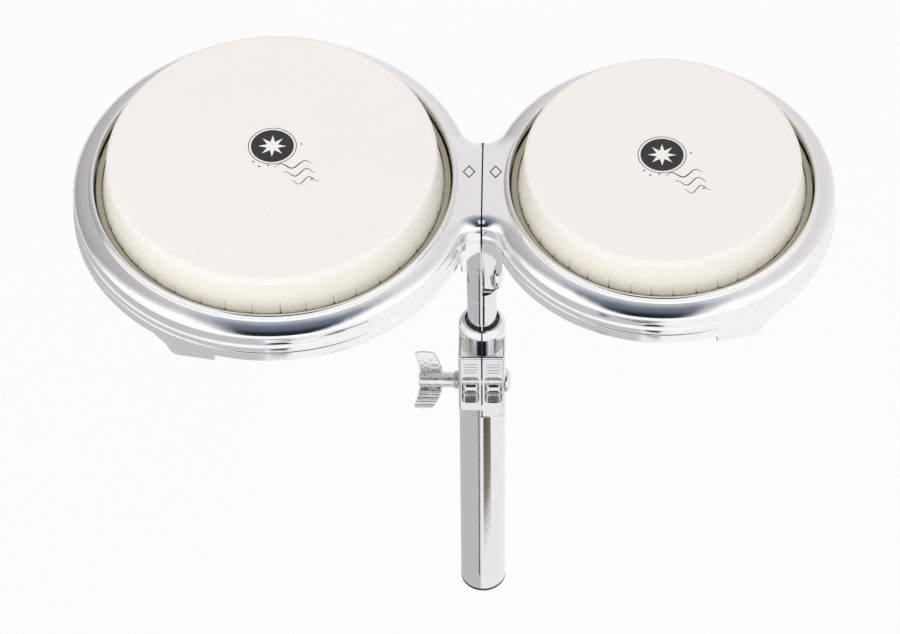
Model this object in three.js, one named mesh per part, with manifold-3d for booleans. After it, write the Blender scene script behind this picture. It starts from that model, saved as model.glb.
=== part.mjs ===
// Compact twin drums: two shallow hand drums in one cast frame, on a tilter, a telescopic post, a split
// clamp and a stand tube. Millimetres, +Z up, origin at the centre of the stand tube's lower end.
// +X runs towards the small drum and -Y towards the player.
import * as THREE from "three";
import { mergeVertices } from "three/addons/utils/BufferGeometryUtils.js";
import Module from "manifold-3d";

const wasm = await Module();
wasm.setup();

// ---- Driving dimensions -------------------------------------------------------------------------
const GAP = 0.3; // clearance between neighbouring pieces

const CROWN_Z = 426; // playing surfaces above the tube's lower end
const DRUM_Y = 24; // drum centres behind the post's axis
const LARGE_R = 109.5; // head radius of the large drum, 8 5/8 in across
const SMALL_R = 91.5; // head radius of the small drum, 7 1/4 in across
const LARGE_X = -138.5; // centre of the large drum from the seam between the castings
const FILLET_R = 15.5; // plan radius of the waist between the two rims

// Rim section: offsets from the head's radius, and heights from the crown.
const RIM_R = 23.4; // widest point of the rolled rim
const HEM_R = 24.3; // outside of the hem
const HEM_INNER_R = 21.2;
const WALL_INNER_R = 20.4;
const LIP_R = 9.2; // inner edge of the lip
const CREASE_R = 13.2; // foot of the lip, where the roll starts
const LEDGE_R = -6; // inner edge of the ledge, level with the shell's bore
const HEM_Z = -51;
const ROLL_Z = -30.6;
const CREASE_Z = -24.4;
const LEDGE_TOP_Z = -41;
const LEDGE_Z = -45;

const FILM = 0.8; // head thickness
const SHOULDER = 4; // radius of the head's edge
const COLLAR_Z = -27.5; // bottom of the collar
const COLLAR_FLARE = 3.6;

const SCREW_R = 2.5; // tuning screws
const SCREW_AT = 11.5; // their circle, outside the head's radius
const SCREW_TOP_Z = -30.2;
const LARGE_SCREWS = 6;
const SMALL_SCREWS = 4;

const LARGE_LUG = 22.6; // rest lugs, degrees from the front and from the back
const SMALL_LUG = 27.4;
const LUG_Z = -64;
const LUG_LENGTH = 33;
const LUG_DEPTH = 15;
const LUG_INSET = 3.3; // how far the middle of the lug's flat face lies inside the hem
const LUG_TURN = 12.8; // degrees that the face is turned inward at its square end
const PAD_INSET = 10.6; // pad centre inside the hem
const PAD_R = 4.6;
const PAD_Z = -65;

// Bridge fixings and bracket: x from the seam, y from the drums' centres, heights from the crown.
const BRIDGE_BOLT_Y = [-26, 26];
const BRIDGE_BOLT_Z = -36.7;
const BRIDGE_SEAT_Y = 22; // where the fixings' flat seats meet the inside of the rims
const BRACKET_X = 31; // half width of the bracket's plate
const BRACKET_FRONT = -36;
const BRACKET_BACK = 20;
const BRACKET_SCREW_X = 24;
const BRACKET_SCREW_Y = [-14, 12];
const APRON_X = 13.6; // half width of the bracket's apron, and the radius of its lower end
const APRON_TOP = -41;
const APRON_BACK = -34.9;
const APRON_Z = -58.4; // centre of its round lower end
const ARCH_X = 9.7; // half width of the opening in the apron
const ARCH_R = 12.9;
const ARCH_TOP = -51.6;

const PIVOT_Z = 335; // tilter axis
const NECK_R = 10.2; // round column that both halves of the tilter share
const HALF_REACH = 18.2; // how far the post's half reaches above the tilter axis
const KNOB_R = 10.4;
const POST_R = 10;
const POST_WALL = 2;
const POST_FOOT_Z = 104;
const NECK_Z = 316; // top of the post tube

const TUBE_R = 16;
const TUBE_WALL = 1.6;
const TUBE_TOP = 201;
const CLAMP_TOP = 289;
const CLAMP_R = 15.8;
const CLAMP_BORE = 12;
const JAW_Z = 211.3; // bottom of the moving jaw
const SPIGOT_Z = 176;
const EAR_Y = -24; // front of the clamp's ears
const EAR_TOP = 275.5;
const EAR_Z = 218; // bottom of the fixed half's ear; the jaw's ear runs down to JAW_Z
const BOLT_Y = -17; // wing bolt axis
const BOLT_Z = 243.4;
const BOLT_R = 3.5;
const PIN_Y = 17.8; // clamp hinge
const WING_TILT = 42; // degrees between the wings and the horizontal at rest

const RING_SEGMENTS = 40;
const DEG = Math.PI / 180;

// The waist's fillet is one circle centred on the seam that touches both rims, which places the small drum.
const largeRim = LARGE_R + RIM_R;
const smallRim = SMALL_R + RIM_R;
const FILLET_Y = Math.sqrt((largeRim + FILLET_R) ** 2 - LARGE_X ** 2);
const SMALL_X = Math.sqrt((smallRim + FILLET_R) ** 2 - FILLET_Y ** 2);

// ---- Materials ----------------------------------------------------------------------------------
const material = (color, roughness, metalness) => new THREE.MeshStandardMaterial({ color, roughness, metalness });
const castAlloy = material(0xd6d4d1, 0.2, 1);
const chrome = material(0xc8c9cc, 0.08, 1);
const steel = material(0xa8a9ab, 0.3, 1);
const headFilm = material(0xf1ebdf, 0.45, 0);
const shellPlastic = material(0x3a3630, 0.5, 0);
const nylon = material(0x1d1d1e, 0.6, 0);
const rubber = material(0x2a2a2a, 0.9, 0);

// ---- Solids -------------------------------------------------------------------------------------
function signedVolume(position, index) {
  const [a, b, c] = [new THREE.Vector3(), new THREE.Vector3(), new THREE.Vector3()];
  let sum = 0;
  for (let i = 0; i < index.length; i += 3) {
    a.fromBufferAttribute(position, index[i]);
    b.fromBufferAttribute(position, index[i + 1]);
    c.fromBufferAttribute(position, index[i + 2]);
    sum += a.dot(b.cross(c));
  }
  return sum;
}

// A closed three.js geometry as a solid, with its faces turned outward.
function solid(geometry) {
  geometry.deleteAttribute("normal");
  geometry.deleteAttribute("uv");
  const merged = mergeVertices(geometry, 1e-4);
  const source = Array.from(merged.index.array);
  const triangles = [];
  for (let i = 0; i < source.length; i += 3) {
    const [a, b, c] = source.slice(i, i + 3);
    if (a !== b && b !== c && c !== a) triangles.push(a, b, c);
  }
  if (signedVolume(merged.attributes.position, triangles) < 0) triangles.reverse();
  const mesh = new wasm.Mesh({
    numProp: 3,
    vertProperties: new Float32Array(merged.attributes.position.array),
    triVerts: new Uint32Array(triangles),
  });
  return new wasm.Manifold(mesh);
}

function geometryOf(body) {
  const mesh = body.getMesh();
  const geometry = new THREE.BufferGeometry();
  geometry.setAttribute("position", new THREE.BufferAttribute(mesh.vertProperties, 3));
  geometry.setIndex(new THREE.BufferAttribute(mesh.triVerts, 1));
  geometry.computeVertexNormals();
  return geometry;
}

function box(x0, x1, y0, y1, z0, z1) {
  const geometry = new THREE.BoxGeometry(x1 - x0, y1 - y0, z1 - z0);
  geometry.translate((x0 + x1) / 2, (y0 + y1) / 2, (z0 + z1) / 2);
  return solid(geometry);
}

// A solid of revolution about Z through (x, y), from a closed or axis-to-axis list of [radius, z].
function turned(profile, segments, x = 0, y = 0) {
  const points = profile.map(([r, z]) => new THREE.Vector2(r, z));
  if (profile[0][0] > 0) points.push(points[0].clone());
  const geometry = new THREE.LatheGeometry(points, segments);
  geometry.rotateX(Math.PI / 2);
  geometry.translate(x, y, 0);
  return solid(geometry);
}

function rod(radius, z0, z1, segments, x = 0, y = 0) {
  return turned([[0, z0], [radius, z0], [radius, z1], [0, z1]], segments, x, y);
}

function pipe(outer, inner, z0, z1, segments) {
  return turned([[inner, z0], [outer, z0], [outer, z1], [inner, z1]], segments);
}

// The same about an X axis through (y, z), from a list of [radius, x].
function turnedX(profile, segments, y, z) {
  const points = profile.map(([r, x]) => new THREE.Vector2(r, x));
  if (profile[0][0] > 0) points.push(points[0].clone());
  const geometry = new THREE.LatheGeometry(points, segments);
  geometry.rotateZ(-Math.PI / 2);
  geometry.translate(0, y, z);
  return solid(geometry);
}

function rodX(radius, x0, x1, segments, y, z) {
  return turnedX([[0, x0], [radius, x0], [radius, x1], [0, x1]], segments, y, z);
}

// A closed solid through stacked loops of equal length: levels are [loop of Vector2, z].
function loft(levels) {
  const count = levels[0][0].length;
  const positions = levels.flatMap(([loop, z]) => loop.flatMap((p) => [p.x, p.y, z]));
  const triangles = [];
  for (let level = 0; level + 1 < levels.length; level += 1) {
    for (let i = 0; i < count; i += 1) {
      const a = level * count + i;
      const b = level * count + ((i + 1) % count);
      triangles.push(a, b, a + count, b, b + count, a + count);
    }
  }
  const last = (levels.length - 1) * count;
  for (const [a, b, c] of THREE.ShapeUtils.triangulateShape(levels[0][0], [])) triangles.push(c, b, a);
  for (const [a, b, c] of THREE.ShapeUtils.triangulateShape(levels.at(-1)[0], [])) {
    triangles.push(last + a, last + b, last + c);
  }
  const geometry = new THREE.BufferGeometry();
  geometry.setAttribute("position", new THREE.Float32BufferAttribute(positions, 3));
  geometry.setIndex(triangles);
  return solid(geometry);
}

function piece(name, body, finish) {
  const mesh = new THREE.Mesh(geometryOf(body), finish);
  mesh.name = name;
  return mesh;
}

// ---- Cast frame ---------------------------------------------------------------------------------
// Heights in this section and the next count from the crown, and x, y from the drum's centre.
function rimRing(headRadius) {
  const section = [
    [HEM_R, HEM_Z], [HEM_R, -43.4], [RIM_R, -42.6], [RIM_R, ROLL_Z], [22.6, -28.2], [19.6, -25.9],
    [CREASE_R, CREASE_Z], [11.8, -21.4], [10.4, -20.6], [LIP_R, -21.6], [LIP_R, -26.5], [17.6, -29.4],
    [20.2, -33], [WALL_INNER_R, LEDGE_TOP_Z], [LEDGE_R, LEDGE_TOP_Z], [LEDGE_R, LEDGE_Z],
    [HEM_INNER_R, LEDGE_Z], [HEM_INNER_R, HEM_Z],
  ];
  return turned(section.map(([r, z]) => [headRadius + r, z]), RING_SEGMENTS);
}

// Half of the waist in plan, drawn from the drum's centre with the seam towards +X. The outline is set
// in by inset, and its inner side is an arc inside the lip.
function waistLoop(headRadius, seamX, inset) {
  const steps = 7;
  const arcR = FILLET_R + inset;
  const touch = Math.atan2(seamX, FILLET_Y);
  const atSeam = Math.asin(GAP / 2 / arcR);
  const front = [];
  for (let i = 0; i <= steps; i += 1) {
    const t = touch + ((atSeam - touch) * i) / steps;
    front.push(new THREE.Vector2(seamX - arcR * Math.sin(t), -FILLET_Y + arcR * Math.cos(t)));
  }
  const back = front.map((p) => new THREE.Vector2(p.x, -p.y)).reverse();
  const spread = Math.atan2(FILLET_Y, seamX);
  const innerRadius = headRadius + CREASE_R - 0.9;
  const inner = [];
  for (let i = 0; i <= steps; i += 1) {
    const t = spread - (2 * spread * i) / steps;
    inner.push(new THREE.Vector2(innerRadius * Math.cos(t), innerRadius * Math.sin(t)));
  }
  return [...front, ...back, ...inner];
}

// The waist between rim and seam, hollow from below.
function waistBlock(headRadius, seamX) {
  const outline = [
    [RIM_R - HEM_R, HEM_Z], [RIM_R - HEM_R, -43.4], [0, -42.6], [0, ROLL_Z], [0.8, -28.2], [3.8, -25.9],
    [RIM_R - CREASE_R, CREASE_Z],
  ];
  const block = loft(outline.map(([inset, z]) => [waistLoop(headRadius, seamX, inset), z]));
  const hollow = [[3.6, HEM_Z - 1], [3.6, -29.5]].map(([inset, z]) => [waistLoop(headRadius, seamX, inset), z]);
  const seamWall = box(seamX - 5, seamX, -60, 60, HEM_Z - 2, CREASE_Z);
  const drumSpace = [
    [-headRadius, HEM_Z - 1], [HEM_INNER_R, HEM_Z - 1], [HEM_INNER_R, -43], [WALL_INNER_R, LEDGE_TOP_Z],
    [20.2, -33], [17.6, -29.4], [LIP_R, -26.5], [LIP_R, -20], [-headRadius, -20],
  ];
  const inside = drumSpace.map(([r, z]) => [r > 0 ? headRadius + r + 0.3 : 0, z]);
  return block.subtract(loft(hollow).subtract(seamWall)).subtract(turned(inside, RING_SEGMENTS));
}

// One rest lug below the ledge, at an angle from +X, with its sloping end turned by slope (1 or -1).
function restLug(headRadius, angle, slope) {
  const half = LUG_LENGTH / 2;
  const top = LEDGE_Z + 0.5;
  const shape = new THREE.Shape();
  shape.moveTo(-half, top);
  shape.lineTo(-half, LUG_Z);
  shape.lineTo(half - 6, LUG_Z);
  shape.lineTo(half - 3, LUG_Z + 1.6);
  shape.lineTo(half + 5, HEM_Z + 1);
  shape.lineTo(half + 5, top);
  const geometry = new THREE.ExtrudeGeometry(shape, { depth: LUG_DEPTH, bevelEnabled: false });
  geometry.rotateX(Math.PI / 2);
  geometry.translate(0, LUG_DEPTH, 0);
  geometry.rotateZ(-LUG_TURN * DEG);
  geometry.translate(0, LUG_INSET - headRadius - HEM_R, 0);
  geometry.scale(slope, 1, 1);
  geometry.rotateZ(angle + Math.PI / 2);
  const inHem = rod(headRadius + HEM_R - 0.01, LUG_Z - 1, top + 1, RING_SEGMENTS);
  return solid(geometry).intersect(inHem);
}

function padPlace(headRadius, angle) {
  const r = headRadius + HEM_R - PAD_INSET;
  return [r * Math.cos(angle), r * Math.sin(angle)];
}

// The frame of one drum with its seam towards +X; the small one is mirrored when it is placed.
function frameHalf(headRadius, seamX, screws, lugAngle) {
  let body = rimRing(headRadius).add(waistBlock(headRadius, seamX));
  for (const angle of lugAngles(lugAngle)) {
    body = body.add(restLug(headRadius, angle, angle > 0 ? 1 : -1));
    const [x, y] = padPlace(headRadius, angle);
    body = body.subtract(rod(PAD_R + GAP, LUG_Z - 1, LUG_Z + 2, 14, x, y));
  }
  for (const angle of screwAngles(screws)) {
    const r = headRadius + SCREW_AT;
    const [x, y] = [r * Math.cos(angle), r * Math.sin(angle)];
    body = body.subtract(rod(SCREW_R + 0.6, LEDGE_Z - 1, LEDGE_TOP_Z + 1, 10, x, y));
  }
  const plateNotch = box(seamX - BRACKET_X - GAP, seamX + 1, BRACKET_FRONT, BRACKET_BACK + GAP, HEM_Z - 1, LEDGE_Z);
  const apronNotch = box(seamX - APRON_X - GAP, seamX + 1, -50, APRON_BACK + GAP, HEM_Z - 1, APRON_TOP + GAP);
  body = body.subtract(plateNotch).subtract(apronNotch);
  const seat = seamX - bridgeSeat(headRadius, seamX);
  for (const y of BRIDGE_BOLT_Y) {
    const bore = rodX(SCREW_R + GAP, seamX - 20, seamX + 1, 10, y, BRIDGE_BOLT_Z);
    body = body.subtract(bore).subtract(rodX(4.6, seat - 6, seat, 20, y, BRIDGE_BOLT_Z));
  }
  for (const y of BRACKET_SCREW_Y) {
    body = body.subtract(rod(1.9, LEDGE_Z - 1, LEDGE_TOP_Z + 1, 10, seamX - BRACKET_SCREW_X, y));
  }
  return body;
}

function lugAngles(lugAngle) {
  return [(90 + lugAngle) * DEG, (-90 - lugAngle) * DEG];
}

function screwAngles(count) {
  return Array.from({ length: count }, (_, i) => ((i + 0.5) * 2 * Math.PI) / count);
}

// ---- Bridge fixings -----------------------------------------------------------------------------
// Distance from the seam to the flat seat that the bridge bolts' heads and nuts have inside each rim.
function bridgeSeat(headRadius, seamX) {
  return seamX - Math.sqrt((headRadius + WALL_INNER_R) ** 2 - BRIDGE_SEAT_Y ** 2);
}

function bridgeBolt(y) {
  const x0 = -bridgeSeat(LARGE_R, -LARGE_X) - GAP / 2;
  const x1 = bridgeSeat(SMALL_R, SMALL_X) + 5;
  return rodX(4, x0 - 3.2, x0, 6, y, BRIDGE_BOLT_Z).add(rodX(SCREW_R, x0 - 1, x1, 10, y, BRIDGE_BOLT_Z));
}

function bridgeNut(y) {
  const x0 = bridgeSeat(SMALL_R, SMALL_X) + GAP / 2;
  return rodX(4, x0, x0 + 3.8, 6, y, BRIDGE_BOLT_Z).subtract(rodX(SCREW_R + GAP / 2, 0, x0 + 6, 10, y, BRIDGE_BOLT_Z));
}

// A horseshoe below the bridge. Its front carries on the hollow curve of the hem at the waist.
function bracketApron() {
  const depth = FILLET_Y + APRON_BACK;
  const shape = new THREE.Shape();
  shape.moveTo(APRON_X, APRON_TOP);
  shape.lineTo(-APRON_X, APRON_TOP);
  shape.absarc(0, APRON_Z, APRON_X, Math.PI, 2 * Math.PI, false);
  const geometry = new THREE.ExtrudeGeometry(shape, { depth, bevelEnabled: false, curveSegments: 16 });
  geometry.rotateX(Math.PI / 2);
  geometry.translate(0, APRON_BACK, 0);
  const waist = rod(FILLET_R + RIM_R - HEM_R, APRON_Z - APRON_X - 1, APRON_TOP + 1, 48, 0, -FILLET_Y);
  const arch = new THREE.CylinderGeometry(ARCH_R, ARCH_R, 40, 28);
  arch.translate(0, -40, ARCH_TOP - ARCH_R);
  const opening = solid(arch).intersect(box(-ARCH_X, ARCH_X, -60, -20, -90, -40));
  return solid(geometry).subtract(waist).subtract(opening);
}

function mountBracket() {
  const plate = box(-BRACKET_X, BRACKET_X, BRACKET_FRONT + GAP, BRACKET_BACK, HEM_Z + 1, LEDGE_Z - GAP);
  let body = plate.add(bracketApron());
  for (const x of [-BRACKET_SCREW_X, BRACKET_SCREW_X]) {
    for (const y of BRACKET_SCREW_Y) body = body.subtract(rod(2.3, HEM_Z, LEDGE_Z + 1, 10, x, y));
  }
  return body;
}

function bracketScrew() {
  const shank = [[0, LEDGE_TOP_Z + 0.6], [1.6, LEDGE_TOP_Z + 0.6], [1.6, HEM_Z + 0.7]];
  return turned([...shank, [4, HEM_Z + 0.7], [4, HEM_Z - 1.2], [2.6, HEM_Z - 2.2], [0, HEM_Z - 2.2]], 10);
}

// ---- Drum ---------------------------------------------------------------------------------------
function shoulderPoints(headRadius, radius, angles) {
  const centre = headRadius - SHOULDER;
  return angles.map((a) => [centre + radius * Math.cos(a * DEG), -SHOULDER + radius * Math.sin(a * DEG)]);
}

function drumHead(headRadius) {
  const flare = headRadius + COLLAR_FLARE;
  const outer = [...shoulderPoints(headRadius, SHOULDER, [90, 60, 30, 0]), [flare, COLLAR_Z]];
  const inner = [[flare - FILM, COLLAR_Z], ...shoulderPoints(headRadius, SHOULDER - FILM, [0, 30, 60, 90])];
  return turned([[0, 0], ...outer, ...inner, [0, -FILM]], RING_SEGMENTS);
}

function drumShell(headRadius) {
  const section = [
    [LEDGE_R, LEDGE_TOP_Z + GAP], [-1.3, LEDGE_TOP_Z + GAP], [-1.3, -SHOULDER], [-2.8, -2.7], [LEDGE_R, -1.25],
  ];
  return turned(section.map(([r, z]) => [headRadius + r, z]), RING_SEGMENTS);
}

function fleshHoop(headRadius) {
  const section = [[0.2, -33], [5.2, -33], [5.2, -29.2], [0.2, -29.2]];
  return turned(section.map(([r, z]) => [headRadius + r, z]), RING_SEGMENTS);
}

function tuningRing(headRadius, screws) {
  const section = [[4.4, -26.6], [8.4, -26.6], [8.4, -36], [5.6, -36], [5.6, -28.9], [4.4, -28.9]];
  let body = turned(section.map(([r, z]) => [headRadius + r, z]), RING_SEGMENTS);
  for (const angle of screwAngles(screws)) {
    const r = headRadius + SCREW_AT;
    const [x, y] = [r * Math.cos(angle), r * Math.sin(angle)];
    body = body.add(rod(5, -37.5, -31.2, 12, x, y)).subtract(rod(SCREW_R + GAP, -40, -26, 10, x, y));
  }
  return body;
}

function tuningScrew() {
  const flangeZ = LEDGE_Z - GAP;
  const shank = turned([[0, SCREW_TOP_Z], [SCREW_R, SCREW_TOP_Z], [SCREW_R, flangeZ - 0.5], [0, flangeZ - 0.5]], 10);
  return shank.add(rod(4.6, flangeZ - 1.5, flangeZ, 10)).add(box(-2.8, 2.8, -2.8, 2.8, HEM_Z + 0.2, flangeZ - 1));
}

// A drum's own pieces in its own group. side is -1 for the large drum and 1 for the small one, whose
// seam faces the other way.
function drumGroup(prefix, side, headRadius, seamX, screws, lugAngle) {
  const group = new THREE.Group();
  const facing = side < 0 ? 1 : -1;
  const mirrored = (body) => (facing > 0 ? body : body.mirror([1, 0, 0]));
  group.add(piece(`${prefix}_frame`, mirrored(frameHalf(headRadius, seamX, screws, lugAngle)), castAlloy));
  group.add(piece(`${prefix}_head`, drumHead(headRadius), headFilm));
  group.add(piece(`${prefix}_shell`, drumShell(headRadius), shellPlastic));
  group.add(piece(`${prefix}_flesh_hoop`, fleshHoop(headRadius), steel));
  group.add(piece(`${prefix}_tuning_ring`, mirrored(tuningRing(headRadius, screws)), steel));
  screwAngles(screws).forEach((angle, i) => {
    const screw = piece(`${prefix}_tuning_screw_${i + 1}`, tuningScrew(), steel);
    const r = headRadius + SCREW_AT;
    screw.position.set(facing * r * Math.cos(angle), r * Math.sin(angle), 0);
    group.add(screw);
  });
  lugAngles(lugAngle).forEach((angle, i) => {
    const pad = piece(`${prefix}_rest_pad_${i + 1}`, rod(PAD_R, PAD_Z, LUG_Z + 1.7, 14), rubber);
    const [x, y] = padPlace(headRadius, angle);
    pad.position.set(facing * x, y, 0);
    group.add(pad);
  });
  group.position.set(side * seamX, DRUM_Y, CROWN_Z);
  return group;
}

function bridgeGroup() {
  const group = new THREE.Group();
  BRIDGE_BOLT_Y.forEach((y, i) => {
    group.add(piece(`bridge_bolt_${i + 1}`, bridgeBolt(y), steel));
    group.add(piece(`bridge_nut_${i + 1}`, bridgeNut(y), steel));
  });
  group.add(piece("mount_bracket", mountBracket(), castAlloy));
  const corners = [-BRACKET_SCREW_X, BRACKET_SCREW_X].flatMap((x) => BRACKET_SCREW_Y.map((y) => [x, y]));
  corners.forEach(([x, y], i) => {
    const screw = piece(`bracket_screw_${i + 1}`, bracketScrew(), steel);
    screw.position.set(x, y, 0);
    group.add(screw);
  });
  group.position.set(0, DRUM_Y, CROWN_Z);
  return group;
}

// ---- Tilter and post ----------------------------------------------------------------------------
const FACE_X = 0.5; // middle of the gap between the two toothed faces
const FLANGE_Z = CROWN_Z + HEM_Z + 1 - GAP; // top of the column, under the bracket

function tilterUpper() {
  const x0 = FACE_X + GAP / 2;
  const disc = rodX(NECK_R, x0, 8, 32, 0, PIVOT_Z).intersect(rod(NECK_R, PIVOT_Z - 12, PIVOT_Z + 12, 32));
  const overLower = rodX(HALF_REACH + GAP, -12, x0, 48, 0, PIVOT_Z);
  const overKnob = rodX(KNOB_R + 0.6, 8, 16, 32, 0, PIVOT_Z);
  const column = rod(NECK_R, PIVOT_Z, FLANGE_Z, 32).subtract(overLower).subtract(overKnob);
  return disc.add(column).subtract(rodX(3.4, 0, 9, 14, 0, PIVOT_Z));
}

function tilterLower() {
  const x1 = FACE_X - GAP / 2;
  const above = rod(NECK_R, PIVOT_Z - 1, PIVOT_Z + HALF_REACH, 32);
  const half = above.intersect(rodX(HALF_REACH, -12, x1, 48, 0, PIVOT_Z));
  const cheekSpace = box(x1, 12, -12, 12, PIVOT_Z - NECK_R - 0.8, PIVOT_Z + 1);
  const neck = rod(NECK_R, NECK_Z, PIVOT_Z, 32).subtract(cheekSpace);
  const spigot = rod(POST_R - POST_WALL - GAP, NECK_Z - 13, NECK_Z + 1, 24);
  const bore = rodX(3.3, -11, 2, 14, 0, PIVOT_Z).add(rodX(5.9, -11, -6.8, 6, 0, PIVOT_Z));
  return half.add(neck).add(spigot).subtract(bore);
}

function tilterBolt() {
  return rodX(5.5, -10, -7.1, 6, 0, PIVOT_Z).add(rodX(3, -7.5, 12, 14, 0, PIVOT_Z));
}

function tilterKnob() {
  const section = [
    [0, 12.6], [3.3, 12.6], [3.3, 8.3], [9.6, 8.3], [KNOB_R, 9.2], [KNOB_R, 12.2], [8.8, 14], [0, 14.6],
  ];
  return turnedX(section, 24, 0, PIVOT_Z);
}

function postEndCap() {
  const r = TUBE_R - TUBE_WALL - 0.5;
  return rod(r, POST_FOOT_Z - 8, POST_FOOT_Z - GAP, 28).add(
    rod(POST_R - POST_WALL - GAP, POST_FOOT_Z - 1, POST_FOOT_Z + 9, 24),
  );
}

function postGroup() {
  const group = new THREE.Group();
  group.add(piece("tilter_upper", tilterUpper(), chrome));
  group.add(piece("tilter_lower", tilterLower(), chrome));
  group.add(piece("tilter_bolt", tilterBolt(), steel));
  group.add(piece("tilter_knob", tilterKnob(), chrome));
  group.add(piece("post_tube", pipe(POST_R, POST_R - POST_WALL, POST_FOOT_Z, NECK_Z - GAP, 32), chrome));
  group.add(piece("post_end_cap", postEndCap(), nylon));
  return group;
}

// ---- Clamp --------------------------------------------------------------------------------------
// The clamp's outside before it is parted: a round barrel from z0 up, with ears in front from earZ up.
function clampBlank(z0, earZ) {
  const barrel = [[0, z0], [CLAMP_R, z0], [CLAMP_R, CLAMP_TOP - 6], [CLAMP_R - 1, CLAMP_TOP - 2], [13, CLAMP_TOP]];
  const ears = box(-CLAMP_R, CLAMP_R, EAR_Y, 0, earZ, EAR_TOP);
  return turned([...barrel, [0, CLAMP_TOP]], 36).add(ears);
}

// What both halves have cut out of them: bore, bolt hole and the cored pocket in the ear.
function clampCuts(side) {
  const inner = side * 1.9;
  const outer = side * 13.7;
  const pocket = box(Math.min(inner, outer), Math.max(inner, outer), EAR_Y - 1, -12.9, 227, 255);
  return rod(CLAMP_BORE, SPIGOT_Z - 1, CLAMP_TOP + 1, 32)
    .add(rodX(BOLT_R + 1.1, -20, 20, 16, BOLT_Y, BOLT_Z))
    .add(pocket)
    .add(rod(2, JAW_Z - 4, CLAMP_TOP, 12, 0, PIN_Y));
}

const KNUCKLE_RUNS = { body: [[216, 238], [262, 284]], jaw: [[238.4, 261.6]] };

function hingeKnuckles(runs, radius) {
  return runs.map(([z0, z1]) => rod(radius, z0, z1, 18, 0, PIN_Y)).reduce((a, b) => a.add(b));
}

function clampBody() {
  const left = clampBlank(TUBE_TOP + GAP, EAR_Z).subtract(box(-0.5, 20, -30, 30, TUBE_TOP, CLAMP_TOP + 1));
  const spigot = rod(TUBE_R - TUBE_WALL - GAP, SPIGOT_Z, TUBE_TOP + 2, 32).add(rod(13, TUBE_TOP, JAW_Z - GAP, 32));
  const clearance = hingeKnuckles([[238, 262]], 5);
  const half = left.subtract(clearance).add(hingeKnuckles(KNUCKLE_RUNS.body, 4.6));
  return half.add(spigot).subtract(clampCuts(-1));
}

function clampJaw() {
  const right = clampBlank(JAW_Z, JAW_Z).subtract(box(-20, 0.5, -30, 30, JAW_Z - 1, CLAMP_TOP + 1));
  const clearance = hingeKnuckles([[215.6, 238.4], [261.6, 284.4]], 5);
  return right.subtract(clearance).add(hingeKnuckles(KNUCKLE_RUNS.jaw, 4.6)).subtract(clampCuts(1));
}

function wingBolt() {
  const lobe = [[-28, 5], [-28.6, 9], [-30.4, 14], [-33, 18.6], [-40, 19.4], [-46.2, 18.8], [-44.4, 12], [-42.8, 6]];
  const outline = [...lobe, ...lobe.map(([x, r]) => [x, -r]).reverse()];
  const shape = new THREE.Shape(outline.map(([x, r]) => new THREE.Vector2(x, r)));
  const thick = 4.4;
  const wings = new THREE.ExtrudeGeometry(shape, { depth: thick, bevelEnabled: false });
  wings.translate(0, 0, -thick / 2);
  wings.rotateX(WING_TILT * DEG);
  wings.translate(0, BOLT_Y, BOLT_Z);
  const hub = rodX(5.4, -42, -18.9, 20, BOLT_Y, BOLT_Z);
  return solid(wings).add(hub).add(rodX(BOLT_R, -20, 16.9, 16, BOLT_Y, BOLT_Z));
}

function wingWasher() {
  return turnedX([[BOLT_R + GAP, -18.6], [6.2, -18.6], [6.2, -16.2], [BOLT_R + GAP, -16.2]], 20, BOLT_Y, BOLT_Z);
}

function clampNut() {
  const x0 = CLAMP_R + GAP;
  const section = [[0, 18], [4.4, 18], [4.4, x0], [8.4, x0], [8.4, 17], [6.4, 18.8], [0, 19.6]];
  return turnedX(section, 24, BOLT_Y, BOLT_Z);
}

function tubePlug() {
  return turned([[0, 0], [TUBE_R, 0], [TUBE_R, 2.5], [TUBE_R - TUBE_WALL - GAP, 2.5], [13, 18], [0, 18]], 36);
}

function standGroup() {
  const group = new THREE.Group();
  group.add(piece("clamp_body", clampBody(), chrome));
  group.add(piece("clamp_jaw", clampJaw(), chrome));
  group.add(piece("clamp_hinge_pin", rod(1.6, 214, 286, 12, 0, PIN_Y), steel));
  group.add(piece("clamp_nut", clampNut(), chrome));
  group.add(piece("wing_bolt", wingBolt(), chrome));
  group.add(piece("wing_washer", wingWasher(), steel));
  group.add(piece("post_bushing", pipe(CLAMP_BORE - GAP, POST_R + GAP, SPIGOT_Z - 4, CLAMP_TOP - 4, 28), nylon));
  group.add(piece("stand_tube", pipe(TUBE_R, TUBE_R - TUBE_WALL, 2.5 + GAP, TUBE_TOP, 36), chrome));
  group.add(piece("tube_plug", tubePlug(), nylon));
  return group;
}

const group = new THREE.Group();
group.add(drumGroup("large", -1, LARGE_R, -LARGE_X, LARGE_SCREWS, LARGE_LUG));
group.add(drumGroup("small", 1, SMALL_R, SMALL_X, SMALL_SCREWS, SMALL_LUG));
group.add(bridgeGroup(), postGroup(), standGroup());

export default group;
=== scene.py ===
"""The looks of the compact bongos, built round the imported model.

Sizes are in millimetres until a mesh is made.
"""
import math
import random

import bmesh
import bpy
from mathutils import Matrix, Vector


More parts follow.
